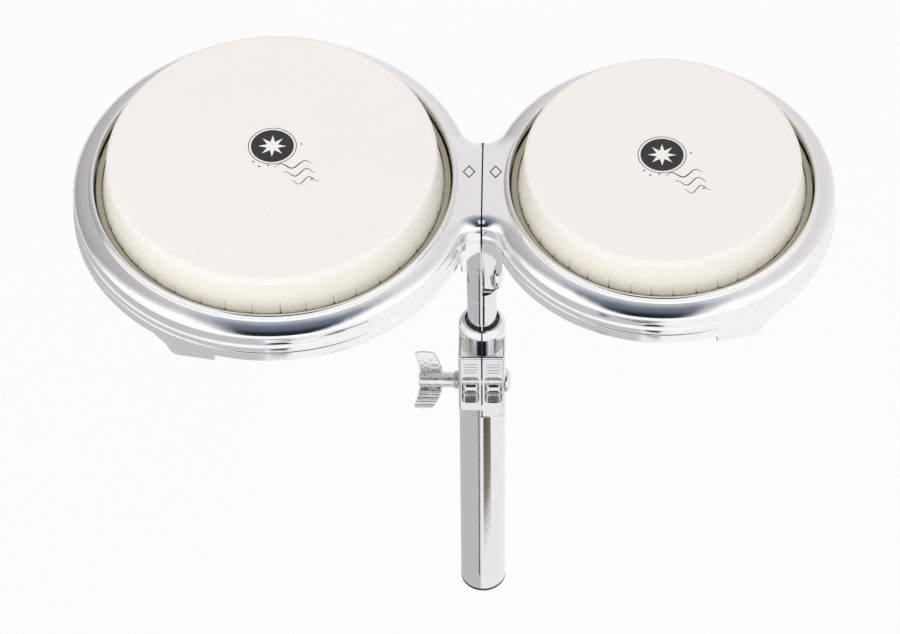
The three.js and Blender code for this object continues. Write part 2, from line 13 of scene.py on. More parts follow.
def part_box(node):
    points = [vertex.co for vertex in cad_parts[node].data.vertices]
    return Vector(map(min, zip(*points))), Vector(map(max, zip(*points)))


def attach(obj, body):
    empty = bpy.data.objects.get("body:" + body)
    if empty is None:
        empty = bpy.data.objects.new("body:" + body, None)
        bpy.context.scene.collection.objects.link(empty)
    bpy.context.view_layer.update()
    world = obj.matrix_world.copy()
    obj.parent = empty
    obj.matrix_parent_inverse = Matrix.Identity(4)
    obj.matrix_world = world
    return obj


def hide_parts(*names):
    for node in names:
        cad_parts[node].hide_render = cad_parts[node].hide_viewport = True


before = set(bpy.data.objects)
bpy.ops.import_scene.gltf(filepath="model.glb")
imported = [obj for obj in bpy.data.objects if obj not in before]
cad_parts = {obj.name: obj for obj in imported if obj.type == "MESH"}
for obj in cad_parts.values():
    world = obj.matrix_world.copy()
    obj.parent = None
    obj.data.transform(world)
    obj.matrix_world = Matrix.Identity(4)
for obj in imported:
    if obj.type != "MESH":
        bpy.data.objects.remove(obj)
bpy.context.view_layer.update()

MM = 0.001  # metres in a millimetre

# ---- Sizes --------------------------------------------------------------------------------------
# Offsets from a head's radius, and heights from the crown, shared with the solids.
RIM_R = 23.4
HEM_R = 24.3
HEM_INNER_R = 21.2
WALL_INNER_R = 20.4
LIP_R = 9.2
CREASE_R = 13.2
LEDGE_R = -6.0
HEM_Z = -51.0
CREASE_Z = -24.4
LEDGE_TOP_Z = -41.0
LEDGE_Z = -45.0
FILLET_R = 15.5
COLLAR_FLARE = 3.6
COLLAR_Z = -27.5
SHOULDER = 3.8
FILM = 0.8
SEAM_GAP = 0.45
LUG_Z = -64.0
LUG_LENGTH = 33.0
LUG_DEPTH = 15.0
LUG_INSET = 3.3
LUG_TURN = 12.8
PAD_INSET = 10.6
SCREW_AT = 11.5
SCREW_R = 2.5
PIVOT_Z = 335.0
NECK_Z = 316.0
NECK_R = 10.2
HALF_REACH = 18.2
BRACKET_FRONT = -36.0
MARK_Y = 8.5
APRON_X = 13.6
APRON_TOP = -41.0
APRON_BACK = -34.9
APRON_Z = -58.4
ARCH_X = 9.7
ARCH_R = 12.9
ARCH_TOP = -51.6
TUBE_R = 16.0
POST_R = 10.0
CLAMP_R = 15.9
BORE_R = 12.0
EAR_Y = -24.0
EAR_TOP = 275.5
EAR_Z = 218.0
BOLT_Y = -17.0
BOLT_Z = 243.4
PIN_Y = 17.8
SHANK_R = 3.5
WING_TILT = 42.0


def box_mm(node):
    low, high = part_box(node)
    return Vector(low) / MM, Vector(high) / MM


class Drum:
    """Places of one drum, read from its solids. facing is 1 where the seam lies towards +X."""

    def __init__(self, prefix, facing, screws, lug_angle):
        low, high = box_mm(prefix + "_head")
        self.prefix = prefix
        self.facing = facing
        self.screws = screws
        self.lug_angle = lug_angle
        self.centre = Vector(((low.x + high.x) / 2, (low.y + high.y) / 2, high.z))
        self.radius = (high.x - low.x) / 2 - COLLAR_FLARE
        self.seam = abs(self.centre.x)

    def at(self, radius, degrees, z=0.0):
        """A point in the drum's own frame, the angle counted from the seam's side."""
        a = math.radians(degrees)
        return Vector((self.facing * radius * math.cos(a), radius * math.sin(a), z)) + self.centre


LARGE = Drum("large", 1, 6, 22.6)
SMALL = Drum("small", -1, 4, 27.4)
DRUMS = (LARGE, SMALL)
CROWN_Z = LARGE.centre.z
DRUM_Y = LARGE.centre.y
FILLET_Y = math.sqrt((LARGE.radius + RIM_R + FILLET_R) ** 2 - LARGE.seam**2)


# ---- Camera -------------------------------------------------------------------------------------
def make_camera():
    """The camera stands in front, well above the drums, turned a little to its left."""
    elevation = math.radians(50.16)
    yaw = math.radians(1.603)
    roll = math.radians(-0.733)
    distance = 3.0
    aim = Vector((-18.6, -113.6, CROWN_Z)) * MM
    forward = Vector(
        (-math.sin(yaw) * math.cos(elevation), math.cos(yaw) * math.cos(elevation), -math.sin(elevation))
    )
    right = Vector((math.cos(yaw), math.sin(yaw), 0))
    up = right.cross(forward)
    tilted_right = math.cos(roll) * right + math.sin(roll) * up
    tilted_up = math.cos(roll) * up - math.sin(roll) * right
    data = bpy.data.cameras.new("camera")
    data.sensor_width = 36
    data.lens = 187.6
    camera = bpy.data.objects.new("camera", data)
    bpy.context.scene.collection.objects.link(camera)
    turn = Matrix((tilted_right, tilted_up, -forward)).transposed().to_4x4()
    camera.matrix_world = Matrix.Translation(aim - distance * forward) @ turn
    bpy.context.scene.camera = camera


# ---- Materials ----------------------------------------------------------------------------------
class Shader:
    """A principled material with small helpers for its nodes."""

    def __init__(self, name, colour, roughness, metallic):
        self.material = bpy.data.materials.new(name)
        self.material.use_nodes = True
        self.tree = self.material.node_tree
        self.shader = self.tree.nodes["Principled BSDF"]
        self.shader.inputs["Base Color"].default_value = (*colour, 1)
        self.shader.inputs["Roughness"].default_value = roughness
        self.shader.inputs["Metallic"].default_value = metallic
        self.place = self.node("ShaderNodeTexCoord").outputs["Object"]

    def node(self, kind, **inputs):
        made = self.tree.nodes.new(kind)
        for key, value in inputs.items():
            self.feed(made, key.replace("_", " "), value)
        return made

    def feed(self, node, key, value):
        socket = node.inputs[key]
        if isinstance(value, bpy.types.NodeSocket):
            self.tree.links.new(value, socket)
        else:
            socket.default_value = value

    def maths(self, operation, a, b=0.0):
        made = self.tree.nodes.new("ShaderNodeMath")
        made.operation = operation
        self.feed(made, 0, a)
        self.feed(made, 1, b)
        return made.outputs[0]

    def noise(self, scale, detail=3.0, stretch=None, roughness=0.5):
        """Noise of the given scale per metre, from 0 to 1."""
        place = self.place
        if stretch:
            mapping = self.node("ShaderNodeMapping", Vector=self.place)
            mapping.inputs["Scale"].default_value = stretch
            place = mapping.outputs[0]
        made = self.node("ShaderNodeTexNoise", Vector=place, Scale=scale, Detail=detail)
        made.inputs["Roughness"].default_value = roughness
        return made.outputs["Fac"]

    def ramp(self, fac, low, high, start=0.0, end=1.0):
        made = self.node("ShaderNodeMapRange", Value=fac)
        made.inputs["From Min"].default_value = start
        made.inputs["From Max"].default_value = end
        made.inputs["To Min"].default_value = low
        made.inputs["To Max"].default_value = high
        return made.outputs[0]

    def all_of(self, *fades):
        """The product of fades, each falling from 1 to 0 between two lengths in millimetres."""
        result = 1.0
        for length, full, none in fades:
            result = self.maths("MULTIPLY", result, self.ramp(length, 1.0, 0.0, full * MM, none * MM))
        return result

    def mix(self, fac, a, b):
        made = self.tree.nodes.new("ShaderNodeMix")
        made.data_type = "RGBA"
        for index, value in ((0, fac), (6, a), (7, b)):
            self.feed(made, index, (*value, 1) if isinstance(value, tuple) else value)
        return made.outputs[2]

    def bump(self, height, strength, distance):
        made = self.node("ShaderNodeBump", Height=height)
        made.inputs["Strength"].default_value = strength
        made.inputs["Distance"].default_value = distance
        self.tree.links.new(made.outputs[0], self.shader.inputs["Normal"])

    def set(self, key, value):
        self.feed(self.shader, key, value)


def polished_alloy():
    """Buffed cast aluminium, hazed and faintly rippled. Painted shade darkens the seam walls and the rebate
    between the castings; the engraved marks are darker.
    """
    s = Shader("polished_alloy", (0.905, 0.9, 0.905), 0.16, 1.0)
    haze = s.noise(38, 4)
    s.set("Roughness", s.ramp(haze, 0.08, 0.16, 0.3, 0.7))
    tone = s.mix(s.noise(14, 2), (0.89, 0.88, 0.885), (0.92, 0.915, 0.92))
    x, y, z = s.node("ShaderNodeSeparateXYZ", Vector=s.place).outputs
    aside = s.maths("ABSOLUTE", x)
    from_mark = s.maths("ABSOLUTE", s.maths("ADD", y, -(DRUM_Y + MARK_Y) * MM))
    top = CROWN_Z + CREASE_Z
    apron = CROWN_Z + APRON_TOP
    # painted shade: the seam walls go near-black from the apron's top to just under the bridge top
    seam_shade = s.all_of((aside, 0.6, 0.7), (z, top - 0.7, top - 0.3), (z, apron + 0.3, apron))
    in_mark = s.all_of((aside, 15, 15.5), (from_mark, 6.5, 7), (z, top - 0.45, top - 0.25))
    tone = s.mix(in_mark, tone, (0.2, 0.2, 0.21))
    s.set("Base Color", s.mix(seam_shade, tone, (0.02, 0.02, 0.022)))
    scratches = s.maths("MULTIPLY", s.noise(2600, 2), 0.04)
    s.bump(s.maths("ADD", s.noise(55, 2), scratches), 0.25, 0.0006)
    return s.material


def chrome_plate():
    """Chrome over steel, with faint wipe marks."""
    s = Shader("chrome_plate", (0.8, 0.8, 0.81), 0.06, 1.0)
    wipe = s.noise(160, 3, stretch=(1, 1, 0.08))
    s.set("Roughness", s.ramp(wipe, 0.035, 0.11, 0.35, 0.75))
    s.set("Base Color", s.mix(s.noise(30, 2), (0.78, 0.78, 0.79), (0.83, 0.825, 0.83)))
    s.bump(s.noise(900, 2), 0.04, 0.0002)
    return s.material


def cast_chrome():
    """Chrome over a coarse casting, pebbled and softly bright."""
    s = Shader("cast_chrome", (0.8, 0.8, 0.81), 0.24, 1.0)
    s.set("Roughness", s.ramp(s.noise(260, 4), 0.16, 0.34, 0.3, 0.7))
    s.set("Base Color", s.mix(s.noise(70, 3), (0.74, 0.74, 0.75), (0.85, 0.845, 0.85)))
    s.bump(s.maths("ADD", s.noise(420, 3), s.maths("MULTIPLY", s.noise(1500, 2), 0.3)), 0.5, 0.0006)
    return s.material


def zinc_steel():
    """Plated steel for screws, hoops and rings, slightly worn."""
    s = Shader("zinc_steel", (0.5, 0.49, 0.46), 0.32, 0.95)
    s.set("Roughness", s.ramp(s.noise(300, 4), 0.22, 0.5, 0.3, 0.7))
    s.set("Base Color", s.mix(s.noise(120, 3), (0.42, 0.41, 0.38), (0.6, 0.58, 0.54)))
    s.bump(s.noise(1500, 3), 0.1, 0.0003)
    return s.material


def ring_paint():
    """The olive-grey paint on the tuning rings."""
    s = Shader("ring_paint", (0.45, 0.42, 0.33), 0.5, 0.1)
    s.set("Base Color", s.mix(s.noise(90, 3), (0.4, 0.375, 0.29), (0.52, 0.485, 0.385)))
    s.set("Roughness", s.ramp(s.noise(500, 3), 0.4, 0.62))
    s.bump(s.noise(1800, 2), 0.15, 0.0003)
    return s.material


def head_film():
    """Fibre-laid white film, ivory down the collar where the sheet thins."""
    s = Shader("head_film", (0.9, 0.86, 0.79), 0.42, 0.0)
    z = s.node("ShaderNodeSeparateXYZ", Vector=s.place).outputs["Z"]
    down = s.ramp(z, 1.0, 0.0, (CROWN_Z - 14) * MM, (CROWN_Z - 1.5) * MM)
    crown = s.mix(s.noise(9, 3), (0.9, 0.855, 0.82), (0.925, 0.875, 0.845))
    collar = s.mix(s.noise(60, 4), (0.86, 0.83, 0.72), (0.91, 0.88, 0.79))
    fibre = s.ramp(s.noise(420, 5, roughness=0.65), 0.0, 1.0, 0.45, 0.75)
    base = s.mix(s.maths("MULTIPLY", fibre, 0.1), s.mix(down, crown, collar), (0.8, 0.77, 0.68))
    # painted shade: a thin dark line round the shoulder, 1.4 mm under the crown, where the head turns down
    from_shade_line = s.maths("ABSOLUTE", s.maths("ADD", z, -(CROWN_Z - 1.4) * MM))
    s.set("Base Color", s.mix(s.ramp(from_shade_line, 0.3, 0.0, 0.0, 0.0006), base, (0.6, 0.58, 0.55)))
    s.set("Roughness", s.ramp(s.noise(200, 4), 0.36, 0.52))
    s.set("Subsurface Weight", 0.08)
    s.set("Subsurface Radius", (0.002, 0.0016, 0.001))
    s.set("Specular IOR Level", 0.35)
    dimples = s.maths("MULTIPLY", s.noise(90, 3), 0.8)
    s.bump(s.maths("ADD", s.noise(700, 5, roughness=0.6), dimples), 0.12, 0.0004)
    return s.material


def print_ink():
    """The flat black print on the heads."""
    s = Shader("print_ink", (0.012, 0.012, 0.014), 0.38, 0.0)
    s.set("Base Color", s.mix(s.noise(900, 3), (0.006, 0.006, 0.008), (0.03, 0.03, 0.032)))
    s.set("Roughness", s.ramp(s.noise(500, 3), 0.3, 0.5))
    return s.material


def moulded_plastic(name, dark, light, roughness):
    """A plastic or rubber with a faint moulded grain, mottled between two tones."""
    s = Shader(name, dark, roughness, 0.0)
    s.set("Base Color", s.mix(s.noise(150, 3), dark, light))
    s.set("Roughness", s.ramp(s.noise(700, 3), roughness - 0.08, roughness + 0.1))
    s.bump(s.noise(2400, 3), 0.2, 0.0002)
    return s.material


# ---- Mesh building ------------------------------------------------------------------------------
def rounded(points, steps=4, closed=True):
    """Points (x, y) or (x, y, fillet radius), with the corners that have a radius turned into arcs."""
    result = []
    count = len(points)
    for i, point in enumerate(points):
        here = Vector(point[:2])
        radius = point[2] if len(point) > 2 else 0
        if not radius or (not closed and i in (0, count - 1)):
            result.append(tuple(here))
            continue
        before = (Vector(points[i - 1][:2]) - here).normalized()
        after = (Vector(points[(i + 1) % count][:2]) - here).normalized()
        half = before.angle(after) / 2
        reach = radius / math.tan(half)
        centre = here + (before + after).normalized() * (radius / math.sin(half))
        start = here + before * reach - centre
        end = here + after * reach - centre
        turn = start.angle_signed(end)
        for k in range(steps + 1):
            a = -turn * k / steps
            x = start.x * math.cos(a) - start.y * math.sin(a)
            y = start.x * math.sin(a) + start.y * math.cos(a)
            result.append(tuple(centre + Vector((x, y))))
    return result


def arc(x, y, radius, start, end, steps):
    angles = [math.radians(start + (end - start) * i / steps) for i in range(steps + 1)]
    return [(x + radius * math.cos(a), y + radius * math.sin(a)) for a in angles]


def circle(x, y, radius, steps):
    return arc(x, y, radius, 0, 360, steps)[:-1]


def ring_at(bm, loop, z):
    return [bm.verts.new((x, y, z)) for x, y in loop]


def bridge_rings(bm, rings, close_ends=False, wrap=False):
    """Joins rings of vertices with quads, and caps the first and last ones if asked."""
    pairs = list(zip(rings, rings[1:]))
    if wrap:
        pairs.append((rings[-1], rings[0]))
    for low, high in pairs:
        count = len(low)
        for i in range(count):
            j = (i + 1) % count
            corners = []
            for v in (low[i], low[j], high[j], high[i]):
                if v not in corners:
                    corners.append(v)
            if len(corners) > 2 and not bm.faces.get(corners):
                bm.faces.new(corners)
    if close_ends:
        bm.faces.new(rings[0])
        bm.faces.new(rings[-1])


def lathe(profile, segments):
    """A solid of revolution about Z from a closed or axis-to-axis list of (radius, z)."""
    bm = bmesh.new()
    closed = profile[0][0] > 1e-6
    rings = []
    for r, z in profile:
        if r < 1e-6:
            rings.append([bm.verts.new((0, 0, z))] * segments)
            continue
        ring = []
        for i in range(segments):
            a = 2 * math.pi * i / segments
            ring.append(bm.verts.new((r * math.cos(a), r * math.sin(a), z)))
        rings.append(ring)
    bridge_rings(bm, rings, wrap=closed)
    return bm


def rod(radius, z0, z1, segments):
    return lathe([(0, z0), (radius, z0), (radius, z1), (0, z1)], segments)


def prism(outline, low, high):
    """A straight block on a plan outline."""
    bm = bmesh.new()
    bridge_rings(bm, [ring_at(bm, outline, z) for z in (low, high)], close_ends=True)
    return bm


def band(outer, inner, low, high):
    """A straight band between two plan outlines with as many points."""
    bm = bmesh.new()
    rings = []
    for outline, z in ((outer, low), (outer, high), (inner, high), (inner, low)):
        rings.append(ring_at(bm, outline, z))
    bridge_rings(bm, rings, wrap=True)
    return bm


def block(x0, x1, y0, y1, z0, z1):
    return prism([(x0, y0), (x1, y0), (x1, y1), (x0, y1)], z0, z1)


def moved(bm, matrix):
    bmesh.ops.transform(bm, matrix=matrix, verts=bm.verts)
    return bm


def along_x(bm, y=0.0, z=0.0):
    """Turns a solid of revolution from the Z axis to an X axis through (y, z)."""
    return moved(bm, Matrix.Translation((0, y, z)) @ Matrix.Rotation(math.pi / 2, 4, "Y"))


def shifted(bm, x, y, z=0.0):
    return moved(bm, Matrix.Translation((x, y, z)))


def object_from(name, bm):
    bmesh.ops.recalc_face_normals(bm, faces=bm.faces)
    mesh = bpy.data.meshes.new(name)
    bm.to_mesh(mesh)
    bm.free()
    made = bpy.data.objects.new(name, mesh)
    bpy.context.scene.collection.objects.link(made)
    return made


def apply_modifiers(obj):
    graph = bpy.context.evaluated_depsgraph_get()
    mesh = bpy.data.meshes.new_from_object(obj.evaluated_get(graph))
    old = obj.data
    obj.modifiers.clear()
    obj.data = mesh
    bpy.data.meshes.remove(old)


def combine(obj, bm, operation):
    """Adds, cuts or keeps the overlap of a second solid, then drops it."""
    tool = object_from("tool", bm)
    modifier = obj.modifiers.new("combine", "BOOLEAN")
    modifier.operation = operation
    modifier.solver = "MANIFOLD"
    modifier.object = tool
    apply_modifiers(obj)
    bpy.data.objects.remove(tool)


def add(obj, *solids):
    for bm in solids:
        combine(obj, bm, "UNION")


def cut(obj, *solids):
    for bm in solids:
        combine(obj, bm, "DIFFERENCE")


def taken(obj):
    """An object's mesh as a loose solid; the object goes."""
    bm = bmesh.new()
    bm.from_mesh(obj.data)
    bpy.data.objects.remove(obj)
    return bm


def soften(obj, width, segments=3, angle=35):
    """Rounds the edges sharper than angle."""
    modifier = obj.modifiers.new("soften", "BEVEL")
    modifier.width = width
    modifier.segments = segments
    modifier.limit_method = "ANGLE"
    modifier.angle_limit = math.radians(angle)
    apply_modifiers(obj)


def piece(obj, material, body, nodes=(), sharp=32):
    """Finishes a piece built in millimetres: metres, smooth shading, material and body, and hides the solids
    it stands for.
    """
    obj.data.transform(Matrix.Scale(MM, 4))
    obj.data.materials.clear()
    obj.data.materials.append(material)
    obj.data.shade_smooth()
    obj.data.set_sharp_from_angle(angle=math.radians(sharp))
    weigh = obj.modifiers.new("weigh", "WEIGHTED_NORMAL")
    weigh.keep_sharp = True
    apply_modifiers(obj)
    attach(obj, body)
    if nodes:
        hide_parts(*nodes)
    return obj


# ---- Castings -----------------------------------------------------------------------------------
BIG_ARC = 200  # points round a rim
FILLET_STEPS = 18
SEAM_STEPS = 16


def outline_loop(drum, inset):
    """The casting's plan outline set in by inset, with the seam towards +X, as points and kinds."""
    arc_r = FILLET_R + inset
    rim = drum.radius + RIM_R - inset
    touch = math.atan2(drum.seam, FILLET_Y)
    at_seam = math.asin(SEAM_GAP / arc_r)
    front = []
    for i in range(FILLET_STEPS + 1):
        t = at_seam + (touch - at_seam) * i / FILLET_STEPS
        front.append((drum.seam - arc_r * math.sin(t), -FILLET_Y + arc_r * math.cos(t)))
    spread = math.atan2(FILLET_Y, drum.seam)
    round_rim = []
    for i in range(1, BIG_ARC):
        a = -spread - (2 * math.pi - 2 * spread) * i / BIG_ARC
        round_rim.append((rim * math.cos(a), rim * math.sin(a)))
    back = [(x, -y) for x, y in reversed(front)]
    half = back[-1][1]
    seam = [(back[-1][0], half - 2 * half * i / SEAM_STEPS) for i in range(1, SEAM_STEPS)]
    return front + round_rim + back + seam


def circle_loop(drum, radius):
    """A circle with one point under each point of the outline."""
    loop = []
    for x, y in outline_loop(drum, RIM_R - CREASE_R):
        scale = radius / math.hypot(x, y)
        loop.append((x * scale, y * scale))
    return loop


def casting_body(drum):
    """The rim, bridge and ledge as one skin, from the hem up and over to the inside."""
    hem = [(HEM_R - 0.7, HEM_Z), (HEM_R - 0.2, HEM_Z + 0.2)]
    groove = [(22.9, -42.7, 0.25), (23.9, -42.2, 0.3), (23.95, -39.2)]
    hem += rounded([(HEM_R, HEM_Z + 0.7), (HEM_R, -43.3, 0.5)] + groove, closed=False)
    cove = [(23.8, -38.5), (23.3, -37.6), (22.8, -36.3), (22.6, -34.6), (22.75, -32.6), (23.15, -31.2)]
    roll = [
        (23.4, -30.6), (23.35, -29.8), (23.0, -28.85), (22.3, -27.95), (21.3, -27.15),
        (20.0, -26.4), (18.4, -25.75), (16.6, -25.2), (14.9, -24.75), (CREASE_R, CREASE_Z),
    ]
    bm = bmesh.new()
    rings = [ring_at(bm, outline_loop(drum, RIM_R - r), z) for r, z in hem + cove + roll]
    chamfer_seam(bm, drum, rings)
    inner = [(CREASE_R - 0.02, CREASE_Z), (12.75, -23.5), (12.3, -22.4)]
    inner += arc(10.85, -22.05, 1.35, 25, 170, 8)
    inside = [
        (LIP_R, -24.0), (LIP_R, -26.3, 0.6), (17.6, -29.4, 1.0), (20.2, -33.0, 1.0),
        (WALL_INNER_R, LEDGE_TOP_Z, 0.8), (LEDGE_R, LEDGE_TOP_Z, 0.5), (LEDGE_R, LEDGE_Z, 0.5),
        (HEM_INNER_R, LEDGE_Z, 0.8), (HEM_INNER_R, HEM_Z),
    ]
    inner += rounded(inside, closed=False)
    rings += [ring_at(bm, circle_loop(drum, drum.radius + r), z) for r, z in inner]
    bridge_rings(bm, rings, wrap=True)
    bmesh.ops.remove_doubles(bm, verts=bm.verts, dist=0.03)
    return bm


def chamfer_seam(bm, drum, rings):
    """Breaks the bridge's top edge along the seam, and adds the ring that the flat top starts from."""
    chamfer = 0.3
    flat = []
    for v in rings[-1]:
        at_seam = v.co.x > drum.seam - SEAM_GAP - 0.01
        flat.append(bm.verts.new((v.co.x - chamfer * at_seam, v.co.y, v.co.z)))
        v.co.z -= chamfer * at_seam
    rings.append(flat)


def lug(drum, sign):
    """One rest lug, in front for sign -1 and behind for sign 1.

    Its flat face turns inward at the square end.
    """
    half = LUG_LENGTH / 2
    top = LEDGE_Z + 0.5
    outline = rounded([
        (-half, top), (-half, LUG_Z, 1.6), (half - 5, LUG_Z, 7.0), (half + 1, -55.5, 5.0),
        (half + 9, HEM_Z - 0.4), (half + 9, top),
    ], steps=8)
    made = object_from("lug", prism(outline, 0, LUG_DEPTH))
    soften(made, 1.0, 4, 50)
    hem_r = drum.radius + HEM_R
    turn = Matrix.Rotation(math.radians(-LUG_TURN), 4, "Z")
    place = Matrix.Translation((0, LUG_INSET - hem_r, 0)) @ turn @ Matrix.Translation((0, LUG_DEPTH, 0))
    made.data.transform(place @ Matrix.Rotation(math.pi / 2, 4, "X"))
    combine(made, rod(hem_r - 0.3, LUG_Z - 1, top + 1, 160), "INTERSECT")
    bm = moved(taken(made), Matrix.Diagonal((-1, 1, 1, 1)))
    moved(bm, Matrix.Rotation(math.radians(-drum.lug_angle), 4, "Z"))
    if sign > 0:
        moved(bm, Matrix.Diagonal((1, -1, 1, 1)))
    return bm


def lozenge(x, y, size):
    """The outline of an engraved mark: a square on its corner, a little narrowed."""
    return [(x + 0.75 * size, y), (x, y + size), (x - 0.75 * size, y), (x, y - size)]


make_camera()
ALLOY = polished_alloy()
CHROME = chrome_plate()
CAST_CHROME = cast_chrome()
STEEL = zinc_steel()
RING_PAINT = ring_paint()
FILM_SKIN = head_film()
INK = print_ink()
NYLON = moulded_plastic("black_nylon", (0.012, 0.012, 0.013), (0.03, 0.03, 0.032), 0.45)
SLEEVE = moulded_plastic("grey_nylon", (0.3, 0.3, 0.31), (0.36, 0.36, 0.37), 0.4)
SHELL_SKIN = moulded_plastic("shell_fibreglass", (0.035, 0.032, 0.026), (0.07, 0.064, 0.052), 0.42)
RUBBER = moulded_plastic("rest_rubber", (0.018, 0.018, 0.018), (0.04, 0.04, 0.04), 0.75)


def placed(bm, drum):
    """Moves a solid from the drum's own frame, with the seam towards +X, to its place."""
    return moved(bm, Matrix.Translation(drum.centre) @ Matrix.Diagonal((drum.facing, 1, 1, 1)))


def make_casting(drum):
    """The casting with its lugs, a rebate along the seam, the engraved mark and the bracket's cut-outs."""
    casting = object_from(drum.prefix + "_casting", casting_body(drum))
    for sign in (-1, 1):
        add(casting, lug(drum, sign))
        angle = math.radians(90 + drum.lug_angle)
        pad_r = drum.radius + HEM_R - PAD_INSET
        bore = rod(4.9, LUG_Z - 1, LUG_Z + 2, 32)
        cut(casting, shifted(bore, pad_r * math.cos(angle), sign * pad_r * math.sin(angle)))
    x = drum.seam
    half = FILLET_Y - FILLET_R - 2
    # a rebate that fills the seam gap; its top takes the alloy's painted seam shade
    add(casting, block(x - 2, x - 0.05, -half, half, LEDGE_Z + 0.5, CREASE_Z - 1.6))
    low, high = box_mm("mount_bracket")
    reach = (high.x - low.x) / 2 + 0.3
    cut(casting, block(x - reach, x + 1, BRACKET_FRONT, high.y + 0.3 - DRUM_Y, HEM_Z - 1, LEDGE_Z))
    cut(casting, block(x - APRON_X - 0.3, x + 1, -50, APRON_BACK + 0.3, HEM_Z - 1, APRON_TOP + 0.12))
    mark = [lozenge(x - 8.8, MARK_Y, size) for size in (5.8, 4.3)]
    cut(casting, band(*mark, CREASE_Z - 0.7, CREASE_Z + 1))
    casting.data.transform(Matrix.Translation(drum.centre) @ Matrix.Diagonal((drum.facing, 1, 1, 1)))
    if drum.facing < 0:
        casting.data.flip_normals()
    return piece(casting, ALLOY, "drums", [drum.prefix + "_frame"], sharp=28)


# ---- Heads --------------------------------------------------------------------------------------
def make_head(drum, seed):
    """The film with its pleated collar. Each pleat is a narrow tuck in the collar's lower edge."""
    pleats = 40
    draw = random.Random(seed)
    pitch = 2 * math.pi * drum.radius / pleats
    near = [0.012, 0.028, 0.05, 0.09, 0.16, 0.26, 0.38]
    spread = [-0.5] + [-u for u in reversed(near)] + [0.0] + near
    tucks = []
    for _ in range(pleats):
        tucks.append((draw.uniform(7.0, 10.5), draw.uniform(1.0, 1.7), draw.uniform(-0.07, 0.07)))
    edge = drum.radius
    shoulder = arc(edge - SHOULDER, -SHOULDER, SHOULDER, 90, 8, 10)
    top = [(0, 0), (edge * 0.3, 0), (edge * 0.6, 0), (edge * 0.85, 0)] + shoulder
    rows = 22
    start_r, start_z = shoulder[-1]
    slope = []
    for i in range(1, rows + 1):
        t = i / rows
        r = start_r + (edge + COLLAR_FLARE - start_r) * t**1.25
        slope.append((r, start_z + (COLLAR_Z - start_z) * t))
    skin = top + slope
    under = [(r - FILM, z) for r, z in reversed(slope)]
    under += arc(edge - SHOULDER, -SHOULDER, SHOULDER - FILM, 8, 90, 8) + [(0, -FILM)]
    bm = bmesh.new()
    rings = []
    for r, z in skin + under:
        if r < 1e-6:
            rings.append([bm.verts.new((0, 0, z))] * (pleats * len(spread)))
            continue
        ring = []
        for k in range(pleats):
            height, depth, lean = tucks[k]
            for u in spread:
                a = 2 * math.pi * (k + 0.5 + u + lean * (abs(u) < 0.3)) / pleats
                across = u * pitch
                up = (z - COLLAR_Z) / height
                tuck = 0.0
                if up < 1:
                    fade = (1 - up) ** 0.7
                    fold = math.exp(-((across / 0.42) ** 2))
                    lap = 0.28 * math.exp(-(((across - 0.9) / 0.9) ** 2)) if across > 0 else 0.0
                    tuck = fade * depth * (lap - 0.95 * fold)
                swell = 0.12 * math.cos(2 * math.pi * u) * max(0.0, 1 - up / 2.2) if up < 2.2 else 0.0
                rr = r + tuck - swell
                ring.append(bm.verts.new((rr * math.cos(a), rr * math.sin(a), z)))
        rings.append(ring)
    bridge_rings(bm, rings)
    head = object_from(drum.prefix + "_skin", placed(bm, drum))
    return piece(head, FILM_SKIN, "drums", [drum.prefix + "_head"], sharp=60)


# ---- Inside the rims ----------------------------------------------------------------------------
def turned(name, profile, material, body, nodes, segments=160, place=None, sharp=32):
    """A piece turned about Z from one profile."""
    bm = lathe(profile, segments)
    if place is not None:
        shifted(bm, *place)
    return piece(object_from(name, bm), material, body, nodes, sharp)


def make_drum_inside(drum):
    r = drum.radius
    name = drum.prefix
    shell = rounded([
        (r + LEDGE_R, LEDGE_TOP_Z + 0.3), (r - 1.3, LEDGE_TOP_Z + 0.3), (r - 1.3, -SHOULDER, 2.0),
        (r - 3, -2.6, 1.0), (r + LEDGE_R, -1.3, 0.8),
    ])
    nodes = [name + "_shell"]
    turned(name + "_shell_body", shell, SHELL_SKIN, "drums", nodes, place=drum.centre)
    hoop = rounded([(r + 0.2, -33, 0.8), (r + 5.2, -33, 0.8), (r + 5.2, -29.2, 0.8), (r + 0.2, -29.2, 0.8)])
    nodes = [name + "_flesh_hoop"]
    turned(name + "_hoop", hoop, STEEL, name + "_tuning_ring", nodes, place=drum.centre)
    make_tuning_ring(drum)
    for i in range(drum.screws):
        make_tuning_screw(drum, i)


def screw_angle(drum, i):
    return (i + 0.5) * 360 / drum.screws


def make_tuning_ring(drum):
    """An L-section ring with a threaded lug for each screw."""
    r = drum.radius
    section = rounded([
        (r + 4.4, -26.6, 0.6), (r + 8.4, -26.6, 0.9), (r + 8.4, -36, 0.5), (r + 5.6, -36, 0.5),
        (r + 5.6, -28.9), (r + 4.4, -28.9, 0.3),
    ])
    ring = object_from(drum.prefix + "_ring", lathe(section, 160))
    for i in range(drum.screws):
        a = math.radians(screw_angle(drum, i))
        x = (r + SCREW_AT) * math.cos(a)
        y = (r + SCREW_AT) * math.sin(a)
        boss = rounded([(0, -37.5), (5, -37.5, 0.6), (5, -31.2, 0.8), (0, -31.2)], closed=False)
        add(ring, shifted(lathe(boss, 32), x, y))
        cut(ring, shifted(rod(2.8, -40, -26, 24), x, y))
    ring.data.transform(Matrix.Translation(drum.centre) @ Matrix.Diagonal((drum.facing, 1, 1, 1)))
    if drum.facing < 0:
        ring.data.flip_normals()
    name = drum.prefix + "_tuning_ring"
    return piece(ring, RING_PAINT, name, [name])


def threaded(radius, low, high, pitch=1.06):
    """The right-hand side of a threaded shank's profile, as shallow ridges."""
    turns = int((high - low) / pitch)
    ridges = []
    for k in range(turns):
        z = low + k * pitch
        ridges += [(radius - 0.32, z + pitch * 0.05), (radius, z + pitch * 0.45), (radius, z + pitch * 0.55)]
    return ridges + [(radius - 0.32, low + turns * pitch)]


